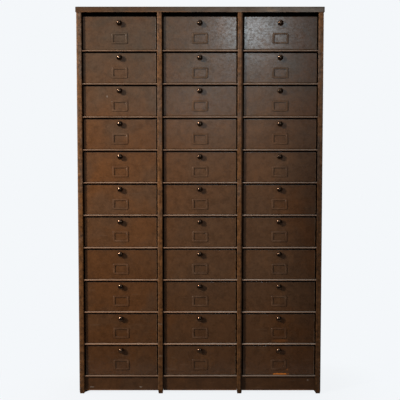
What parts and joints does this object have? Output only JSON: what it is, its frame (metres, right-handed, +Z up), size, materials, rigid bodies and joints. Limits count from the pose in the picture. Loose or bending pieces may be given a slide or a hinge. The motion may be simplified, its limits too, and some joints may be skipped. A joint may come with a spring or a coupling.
{
  "type": "flap-front filing cabinet",
  "caption": "Tall sheet-steel office cabinet whose front is a grid of drop-down flaps, each hinged at its lower edge, with a ball knob and a label holder.",
  "frame": {"origin": "middle of the footprint, knobs included, on the floor", "axes": "+X to the right of a person who faces the flaps, +Y to the back, +Z up"},
  "size_m": [1.26, 0.364, 1.992],
  "materials": {
    "carcass_enamel": "aged dark brown stove enamel, satin",
    "stile_enamel": "worn brown stove enamel, satin",
    "shelf_enamel": "brown stove enamel, rubbed pale along the front lip",
    "flap_enamel": "aged brown stove enamel, semi-gloss; the knob is dark bronze on the real object"
  },
  "bodies": {
    "carcass": {"top_cap": "carcass_enamel", "head_rail": "carcass_enamel", "back_panel": "carcass_enamel", "left_side_panel": "carcass_enamel", "right_side_panel": "carcass_enamel", "left_partition": "carcass_enamel", "right_partition": "carcass_enamel", "left_stile": "stile_enamel", "centre_left_stile": "stile_enamel", "centre_right_stile": "stile_enamel", "right_stile": "stile_enamel", "shelf_01": "shelf_enamel", "shelf_02": "shelf_enamel", "shelf_03": "shelf_enamel", "shelf_04": "shelf_enamel", "shelf_05": "shelf_enamel", "shelf_06": "shelf_enamel", "shelf_07": "shelf_enamel", "shelf_08": "shelf_enamel", "shelf_09": "shelf_enamel", "shelf_10": "shelf_enamel", "shelf_11": "shelf_enamel", "left_plinth": "carcass_enamel", "centre_plinth": "carcass_enamel", "right_plinth": "carcass_enamel"},
    "left_flap_01": {"left_flap_01": "flap_enamel"},
    "left_flap_02": {"left_flap_02": "flap_enamel"},
    "left_flap_03": {"left_flap_03": "flap_enamel"},
    "left_flap_04": {"left_flap_04": "flap_enamel"},
    "left_flap_05": {"left_flap_05": "flap_enamel"},
    "left_flap_06": {"left_flap_06": "flap_enamel"},
    "left_flap_07": {"left_flap_07": "flap_enamel"},
    "left_flap_08": {"left_flap_08": "flap_enamel"},
    "left_flap_09": {"left_flap_09": "flap_enamel"},
    "left_flap_10": {"left_flap_10": "flap_enamel"},
    "left_flap_11": {"left_flap_11": "flap_enamel"},
    "centre_flap_01": {"centre_flap_01": "flap_enamel"},
    "centre_flap_02": {"centre_flap_02": "flap_enamel"},
    "centre_flap_03": {"centre_flap_03": "flap_enamel"},
    "centre_flap_04": {"centre_flap_04": "flap_enamel"},
    "centre_flap_05": {"centre_flap_05": "flap_enamel"},
    "centre_flap_06": {"centre_flap_06": "flap_enamel"},
    "centre_flap_07": {"centre_flap_07": "flap_enamel"},
    "centre_flap_08": {"centre_flap_08": "flap_enamel"},
    "centre_flap_09": {"centre_flap_09": "flap_enamel"},
    "centre_flap_10": {"centre_flap_10": "flap_enamel"},
    "centre_flap_11": {"centre_flap_11": "flap_enamel"},
    "right_flap_01": {"right_flap_01": "flap_enamel"},
    "right_flap_02": {"right_flap_02": "flap_enamel"},
    "right_flap_03": {"right_flap_03": "flap_enamel"},
    "right_flap_04": {"right_flap_04": "flap_enamel"},
    "right_flap_05": {"right_flap_05": "flap_enamel"},
    "right_flap_06": {"right_flap_06": "flap_enamel"},
    "right_flap_07": {"right_flap_07": "flap_enamel"},
    "right_flap_08": {"right_flap_08": "flap_enamel"},
    "right_flap_09": {"right_flap_09": "flap_enamel"},
    "right_flap_10": {"right_flap_10": "flap_enamel"},
    "right_flap_11": {"right_flap_11": "flap_enamel"}
  },
  "joints": [
    {"name": "left_flap_01_hinge", "type": "hinge", "parent": "carcass", "child": "left_flap_01", "pos_m": [-0.40917, -0.1565, 1.7786], "axis": [1, 0, 0], "range_deg": [0, 90]},
    {"name": "left_flap_02_hinge", "type": "hinge", "parent": "carcass", "child": "left_flap_02", "pos_m": [-0.40917, -0.1565, 1.6106], "axis": [1, 0, 0], "range_deg": [0, 90]},
    {"name": "left_flap_03_hinge", "type": "hinge", "parent": "carcass", "child": "left_flap_03", "pos_m": [-0.40917, -0.1565, 1.4426], "axis": [1, 0, 0], "range_deg": [0, 90]},
    {"name": "left_flap_04_hinge", "type": "hinge", "parent": "carcass", "child": "left_flap_04", "pos_m": [-0.40917, -0.1565, 1.2746], "axis": [1, 0, 0], "range_deg": [0, 90]},
    {"name": "left_flap_05_hinge", "type": "hinge", "parent": "carcass", "child": "left_flap_05", "pos_m": [-0.40917, -0.1565, 1.1066], "axis": [1, 0, 0], "range_deg": [0, 90]},
    {"name": "left_flap_06_hinge", "type": "hinge", "parent": "carcass", "child": "left_flap_06", "pos_m": [-0.40917, -0.1565, 0.9386], "axis": [1, 0, 0], "range_deg": [0, 90]},
    {"name": "left_flap_07_hinge", "type": "hinge", "parent": "carcass", "child": "left_flap_07", "pos_m": [-0.40917, -0.1565, 0.7706], "axis": [1, 0, 0], "range_deg": [0, 90]},
    {"name": "left_flap_08_hinge", "type": "hinge", "parent": "carcass", "child": "left_flap_08", "pos_m": [-0.40917, -0.1565, 0.6026], "axis": [1, 0, 0], "range_deg": [0, 90]},
    {"name": "left_flap_09_hinge", "type": "hinge", "parent": "carcass", "child": "left_flap_09", "pos_m": [-0.40917, -0.1565, 0.4346], "axis": [1, 0, 0], "range_deg": [0, 90]},
    {"name": "left_flap_10_hinge", "type": "hinge", "parent": "carcass", "child": "left_flap_10", "pos_m": [-0.40917, -0.1565, 0.2666], "axis": [1, 0, 0], "range_deg": [0, 90]},
    {"name": "left_flap_11_hinge", "type": "hinge", "parent": "carcass", "child": "left_flap_11", "pos_m": [-0.40917, -0.1565, 0.0986], "axis": [1, 0, 0], "range_deg": [0, 90]},
    {"name": "centre_flap_01_hinge", "type": "hinge", "parent": "carcass", "child": "centre_flap_01", "pos_m": [0, -0.1565, 1.7786], "axis": [1, 0, 0], "range_deg": [0, 90]},
    {"name": "centre_flap_02_hinge", "type": "hinge", "parent": "carcass", "child": "centre_flap_02", "pos_m": [0, -0.1565, 1.6106], "axis": [1, 0, 0], "range_deg": [0, 90]},
    {"name": "centre_flap_03_hinge", "type": "hinge", "parent": "carcass", "child": "centre_flap_03", "pos_m": [0, -0.1565, 1.4426], "axis": [1, 0, 0], "range_deg": [0, 90]},
    {"name": "centre_flap_04_hinge", "type": "hinge", "parent": "carcass", "child": "centre_flap_04", "pos_m": [0, -0.1565, 1.2746], "axis": [1, 0, 0], "range_deg": [0, 90]},
    {"name": "centre_flap_05_hinge", "type": "hinge", "parent": "carcass", "child": "centre_flap_05", "pos_m": [0, -0.1565, 1.1066], "axis": [1, 0, 0], "range_deg": [0, 90]},
    {"name": "centre_flap_06_hinge", "type": "hinge", "parent": "carcass", "child": "centre_flap_06", "pos_m": [0, -0.1565, 0.9386], "axis": [1, 0, 0], "range_deg": [0, 90]},
    {"name": "centre_flap_07_hinge", "type": "hinge", "parent": "carcass", "child": "centre_flap_07", "pos_m": [0, -0.1565, 0.7706], "axis": [1, 0, 0], "range_deg": [0, 90]},
    {"name": "centre_flap_08_hinge", "type": "hinge", "parent": "carcass", "child": "centre_flap_08", "pos_m": [0, -0.1565, 0.6026], "axis": [1, 0, 0], "range_deg": [0, 90]},
    {"name": "centre_flap_09_hinge", "type": "hinge", "parent": "carcass", "child": "centre_flap_09", "pos_m": [0, -0.1565, 0.4346], "axis": [1, 0, 0], "range_deg": [0, 90]},
    {"name": "centre_flap_10_hinge", "type": "hinge", "parent": "carcass", "child": "centre_flap_10", "pos_m": [0, -0.1565, 0.2666], "axis": [1, 0, 0], "range_deg": [0, 90]},
    {"name": "centre_flap_11_hinge", "type": "hinge", "parent": "carcass", "child": "centre_flap_11", "pos_m": [0, -0.1565, 0.0986], "axis": [1, 0, 0], "range_deg": [0, 90]},
    {"name": "right_flap_01_hinge", "type": "hinge", "parent": "carcass", "child": "right_flap_01", "pos_m": [0.40917, -0.1565, 1.7786], "axis": [1, 0, 0], "range_deg": [0, 90]},
    {"name": "right_flap_02_hinge", "type": "hinge", "parent": "carcass", "child": "right_flap_02", "pos_m": [0.40917, -0.1565, 1.6106], "axis": [1, 0, 0], "range_deg": [0, 90]},
    {"name": "right_flap_03_hinge", "type": "hinge", "parent": "carcass", "child": "right_flap_03", "pos_m": [0.40917, -0.1565, 1.4426], "axis": [1, 0, 0], "range_deg": [0, 90]},
    {"name": "right_flap_04_hinge", "type": "hinge", "parent": "carcass", "child": "right_flap_04", "pos_m": [0.40917, -0.1565, 1.2746], "axis": [1, 0, 0], "range_deg": [0, 90]},
    {"name": "right_flap_05_hinge", "type": "hinge", "parent": "carcass", "child": "right_flap_05", "pos_m": [0.40917, -0.1565, 1.1066], "axis": [1, 0, 0], "range_deg": [0, 90]},
    {"name": "right_flap_06_hinge", "type": "hinge", "parent": "carcass", "child": "right_flap_06", "pos_m": [0.40917, -0.1565, 0.9386], "axis": [1, 0, 0], "range_deg": [0, 90]},
    {"name": "right_flap_07_hinge", "type": "hinge", "parent": "carcass", "child": "right_flap_07", "pos_m": [0.40917, -0.1565, 0.7706], "axis": [1, 0, 0], "range_deg": [0, 90]},
    {"name": "right_flap_08_hinge", "type": "hinge", "parent": "carcass", "child": "right_flap_08", "pos_m": [0.40917, -0.1565, 0.6026], "axis": [1, 0, 0], "range_deg": [0, 90]},
    {"name": "right_flap_09_hinge", "type": "hinge", "parent": "carcass", "child": "right_flap_09", "pos_m": [0.40917, -0.1565, 0.4346], "axis": [1, 0, 0], "range_deg": [0, 90]},
    {"name": "right_flap_10_hinge", "type": "hinge", "parent": "carcass", "child": "right_flap_10", "pos_m": [0.40917, -0.1565, 0.2666], "axis": [1, 0, 0], "range_deg": [0, 90]},
    {"name": "right_flap_11_hinge", "type": "hinge", "parent": "carcass", "child": "right_flap_11", "pos_m": [0.40917, -0.1565, 0.0986], "axis": [1, 0, 0], "range_deg": [0, 90]}
  ]
}
